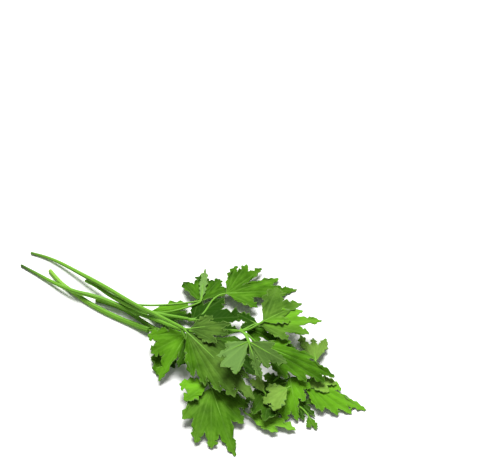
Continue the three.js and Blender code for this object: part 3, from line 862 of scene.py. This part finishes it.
def bend_rod(mesh, path, radius_at, ribs, rib_height, looks, rng):
    """Lays a rod along a path in millimetres, with a radius for each share of its length."""
    spots = coordinates(mesh)
    rho, turn, share = np.hypot(spots[:, 0], spots[:, 1]), np.arctan2(spots[:, 1], spots[:, 0]), spots[:, 2]
    travelled = np.r_[0, np.cumsum(np.linalg.norm(np.diff(path, axis=0), axis=1))]
    total = travelled[-1]
    travelled /= total
    tangents = np.gradient(path, travelled, axis=0)
    centre = np.stack([np.interp(share, travelled, path[:, k]) for k in range(3)], axis=1)
    ahead = np.stack([np.interp(share, travelled, tangents[:, k]) for k in range(3)], axis=1)
    ahead /= np.linalg.norm(ahead, axis=1)[:, None]
    level = np.stack([-ahead[:, 1], ahead[:, 0], np.zeros(len(ahead))], axis=1)
    level /= np.linalg.norm(level, axis=1)[:, None]
    above = np.cross(ahead, level)
    twist = turn + rng.random() * 6 + TWIST * share
    rib = 0.5 + 0.5 * np.cos(ribs * twist)
    radius = radius_at(share) * rho * (1 + rib_height * (rib - 0.5) * 2)
    points = centre + (radius * np.cos(turn))[:, None] * level + (radius * np.sin(turn))[:, None] * above
    points[:, 2] = np.maximum(points[:, 2], LOWEST)
    set_coordinates(mesh, points)
    set_uv(mesh, np.stack([turn / (2 * math.pi), share * total], axis=1))
    set_attribute(mesh, "rib", rib)
    for look in ("pale", "dry"):
        set_attribute(mesh, look, looks[look](share))


def shaped(name, parts):
    """Joins parts into one finished piece."""
    only(parts[0])
    for part in parts:
        part.select_set(True)
    if len(parts) > 1:
        bpy.ops.object.join()
    piece = bpy.context.object
    piece.name = piece.data.name = name
    return piece


def stand_for(piece, number):
    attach(piece, "root")
    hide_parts(f"leafy_stem_{number}")


class PARSLEY_OT_stalks(bpy.types.Operator):
    """Builds the cut stalks with the branches that carry the blades"""
    bl_idname = "parsley.stalks"
    bl_label = "Stalks"

    def execute(self, context):
        sizes = context.scene.parsley_stalks
        skin, cut = stalk_paint("stalk_skin", sizes), cut_paint("cut_pith", sizes)
        stalk = rod_template("stalk_rod", STALK_SIDES, STALK_RINGS, True, (skin, cut))
        branch = rod_template("branch_rod", BRANCH_SIDES, BRANCH_RINGS, False, (skin,))
        rng = random.Random(STALK_SEED)
        branch_looks = {"pale": lambda share: 0.1 + 0.35 * share, "dry": lambda share: 0 * share}
        for number, stem in STEMS.items():
            path = smooth_route(stem["route"], ROUTE_POINTS)
            rods = [copy_of(stalk, f"rod_{number}")]

            def stalk_radius(share):
                return np.interp(share, (0, THICKEST, 1), stem["radii"])

            looks = {
                "pale": lambda share: stem["pale"] * np.clip(1 - share / PALE_SHARE, 0, 1),
                "dry": lambda share: stem["dry"] * np.clip(1 - share / DRY_SHARE, 0, 1),
            }
            bend_rod(rods[0].data, path, stalk_radius, sizes.ribs, sizes.rib_height, looks, rng)
            for shape in stem["leaves"]:
                rods.append(copy_of(branch, "rod"))
                run, reach = self.branch_path(path, shape)

                def branch_radius(share):
                    outside = BRANCH_ROOT + (BRANCH_TIP - BRANCH_ROOT) * np.clip(share / reach, 0, 1)
                    under = np.clip((share - reach) / (1 - reach), 0, 1)
                    return outside * (1 - under) + BRANCH_END * under

                bend_rod(rods[-1].data, run, branch_radius, BRANCH_RIBS, BRANCH_RIB_HEIGHT, branch_looks, rng)
            piece = shaped(f"stalk_{number}", rods)
            only(piece)
            bpy.ops.object.shade_smooth_by_angle(angle=SHARP_EDGE)
            stand_for(piece, number)
        for template in (stalk, branch):
            bpy.data.objects.remove(template)
        return {"FINISHED"}

    def branch_path(self, stalk_path, shape):
        """From inside the stalk to the blade's base and on under its middle vein, and the base's share."""
        share = shape["start"] * (len(stalk_path) - 1)
        k = int(min(share, len(stalk_path) - 2))
        start = stalk_path[k] + (stalk_path[k + 1] - stalk_path[k]) * (share - k)
        tangent = stalk_path[k + 1] - stalk_path[k]
        tangent /= np.linalg.norm(tangent)
        heading, pitch = shape["arrive"]
        ahead, _, _ = leaf_frame({"heading": heading, "pitch": pitch, "roll": 0})
        out = leaf_frame(shape)[2]
        base = lay(shape, np.array([0.0, 0.0]))
        gap = np.linalg.norm(base - start)
        leave = start + tangent * gap * shape["swing"][0]
        arrive = base - ahead * gap * shape["swing"][1]
        t = np.linspace(0, 1, SWING_POINTS)[:, None]
        rest = 1 - t
        swing = start * rest ** 3 + 3 * leave * t * rest ** 2 + 3 * arrive * t ** 2 * rest + base * t ** 3
        middle = min(shape["lobes"], key=lambda lobe: abs(lobe[0]))
        reach = np.linspace(0, UNDER_REACH * middle[1], UNDER_POINTS)[1:]
        turn = math.radians(middle[0])
        vein = lay(shape, np.stack([reach * math.cos(turn), reach * math.sin(turn)], axis=1))
        whole = np.r_[swing, vein - UNDER_DEPTH * out]
        steps = np.linalg.norm(np.diff(whole, axis=0), axis=1)
        return whole, steps[:SWING_POINTS - 1].sum() / steps.sum()


class PARSLEY_OT_blades(bpy.types.Operator):
    """Builds the leaf blades of every stem"""
    bl_idname = "parsley.blades"
    bl_label = "Leaf blades"

    def execute(self, context):
        sizes = context.scene.parsley_blades
        faces = [blade_paint("blade_upper", sizes, False), blade_paint("blade_under", sizes, True)]
        template = grid_template(faces)
        spots = coordinates(template.data)
        rows = np.rint(spots[:, 0] * (INNER_ROWS + OUTER_ROWS)).astype(int)
        columns = np.rint(spots[:, 1] * (len(ACROSS) - 1)).astype(int)
        rng = random.Random(BLADE_SEED)
        for number, stem in STEMS.items():
            halves = []
            for shape in stem["leaves"]:
                for lobe in range(len(shape["lobes"])):
                    for side in (1, -1):
                        half = copy_of(template, f"half_{number}")
                        flat, grid, rim, relief = half_lobe(shape, lobe, side, sizes, rng)
                        points = lay(shape, flat, relief)
                        mesh = half.data
                        set_coordinates(mesh, points[rows, columns])
                        set_uv(mesh, grid[rows, columns])
                        set_attribute(mesh, "rim", rim[rows, columns])
                        for look in ("tone", "grey"):
                            set_attribute(mesh, look, spread(shape, flat[rows, columns], look))
                        if side < 0:
                            mesh.flip_normals()
                        halves.append(half)
            piece = shaped(f"blades_{number}", halves)
            bpy.ops.object.mode_set(mode="EDIT")
            bpy.ops.mesh.select_all(action="SELECT")
            bpy.ops.mesh.remove_doubles(threshold=MERGE_DISTANCE)
            bpy.ops.object.mode_set(mode="OBJECT")
            apply_modifier(piece, "SOLIDIFY", thickness=sizes.thickness, offset=0, material_offset=1,
                           material_offset_rim=1)
            bpy.ops.object.shade_smooth()
            stand_for(piece, number)
        bpy.data.objects.remove(template)
        return {"FINISHED"}


class PARSLEY_OT_stage(bpy.types.Operator):
    """Sets the pale floor, the soft lights and the camera"""
    bl_idname = "parsley.stage"
    bl_label = "Stage"

    def execute(self, context):
        stage = context.scene.parsley_stage
        clear_selection()
        bpy.ops.mesh.primitive_plane_add(size=FLOOR_SIZE, location=(0, 0, FLOOR_HEIGHT))
        floor = context.object
        floor.name = "floor"
        paint = Paint("floor_paper")
        paper = paint.finish(Base_Color=stage.floor, Roughness=0.9, Specular_IOR_Level=0.1)
        floor.data.materials.append(paper)
        self.lamp("key", KEY_PLACE, KEY_SIZE, stage.key)
        self.lamp("fill", FILL_PLACE, FILL_SIZE, stage.fill)
        world = bpy.data.worlds.new("even_light")
        context.scene.world = world
        world.use_nodes = True
        back = world.node_tree.nodes["Background"]
        back.inputs["Color"].default_value = (1.0, 1.0, 1.0, 1.0)
        back.inputs["Strength"].default_value = stage.sky
        context.scene.view_settings.view_transform = "Standard"
        self.camera(context)
        return {"FINISHED"}

    def lamp(self, name, place, size, power):
        clear_selection()
        bpy.ops.object.light_add(type="AREA", location=place)
        lamp = bpy.context.object
        lamp.name = name
        lamp.data.shape = "DISK"
        lamp.data.size = size
        lamp.data.energy = power
        away = lamp.location.copy()
        lamp.rotation_euler = away.to_track_quat("Z", "Y").to_euler()

    def camera(self, context):
        target = [(CAMERA_TARGET[k] - (ORIGIN[k] if k < 2 else 0)) * MM for k in range(3)]
        level = math.cos(CAMERA_ELEVATION)
        across, forward = math.sin(CAMERA_AZIMUTH) * level, math.cos(CAMERA_AZIMUTH) * level
        back = (across, -forward, math.sin(CAMERA_ELEVATION))
        place = [target[k] + back[k] * CAMERA_DISTANCE for k in range(3)]
        tilt = math.pi / 2 - CAMERA_ELEVATION
        clear_selection()
        bpy.ops.object.camera_add(location=place, rotation=(tilt, 0, CAMERA_AZIMUTH))
        camera = context.object
        camera.name = "photo_camera"
        camera.data.sensor_fit = "HORIZONTAL"
        camera.data.sensor_width = SENSOR_WIDTH
        camera.data.lens = SENSOR_WIDTH * CAMERA_DISTANCE / (PICTURE_WIDTH * PIXEL_SIZE)
        camera.data.clip_end = 20
        context.scene.camera = camera


class PARSLEY_PT_panel(bpy.types.Panel):
    """Lists the pieces and their sizes and colours"""
    bl_idname = "PARSLEY_PT_panel"
    bl_label = "Parsley bunch"
    bl_space_type = "VIEW_3D"
    bl_region_type = "UI"
    bl_category = "Parsley"

    def draw(self, context):
        for operator in OPERATORS:
            self.layout.operator(operator.bl_idname)
        for name in SETTINGS:
            group = getattr(context.scene, name)
            box = self.layout.box()
            for entry in group.bl_rna.properties:
                if not entry.is_readonly and entry.identifier != "name":
                    box.prop(group, entry.identifier)


OPERATORS = (PARSLEY_OT_stalks, PARSLEY_OT_blades, PARSLEY_OT_stage)
SETTINGS = {"parsley_blades": ParsleyBlades, "parsley_stalks": ParsleyStalks, "parsley_stage": ParsleyStage}


def register():
    for name, group in SETTINGS.items():
        bpy.utils.register_class(group)
        setattr(bpy.types.Scene, name, bpy.props.PointerProperty(type=group))
    for made in (*OPERATORS, PARSLEY_PT_panel):
        bpy.utils.register_class(made)


def unregister():
    for made in (PARSLEY_PT_panel, *OPERATORS):
        bpy.utils.unregister_class(made)
    for name, group in SETTINGS.items():
        delattr(bpy.types.Scene, name)
        bpy.utils.unregister_class(group)


def main():
    register()
    bpy.ops.parsley.stalks()
    bpy.ops.parsley.blades()
    bpy.ops.parsley.stage()


if __name__ == "__main__":
    main()
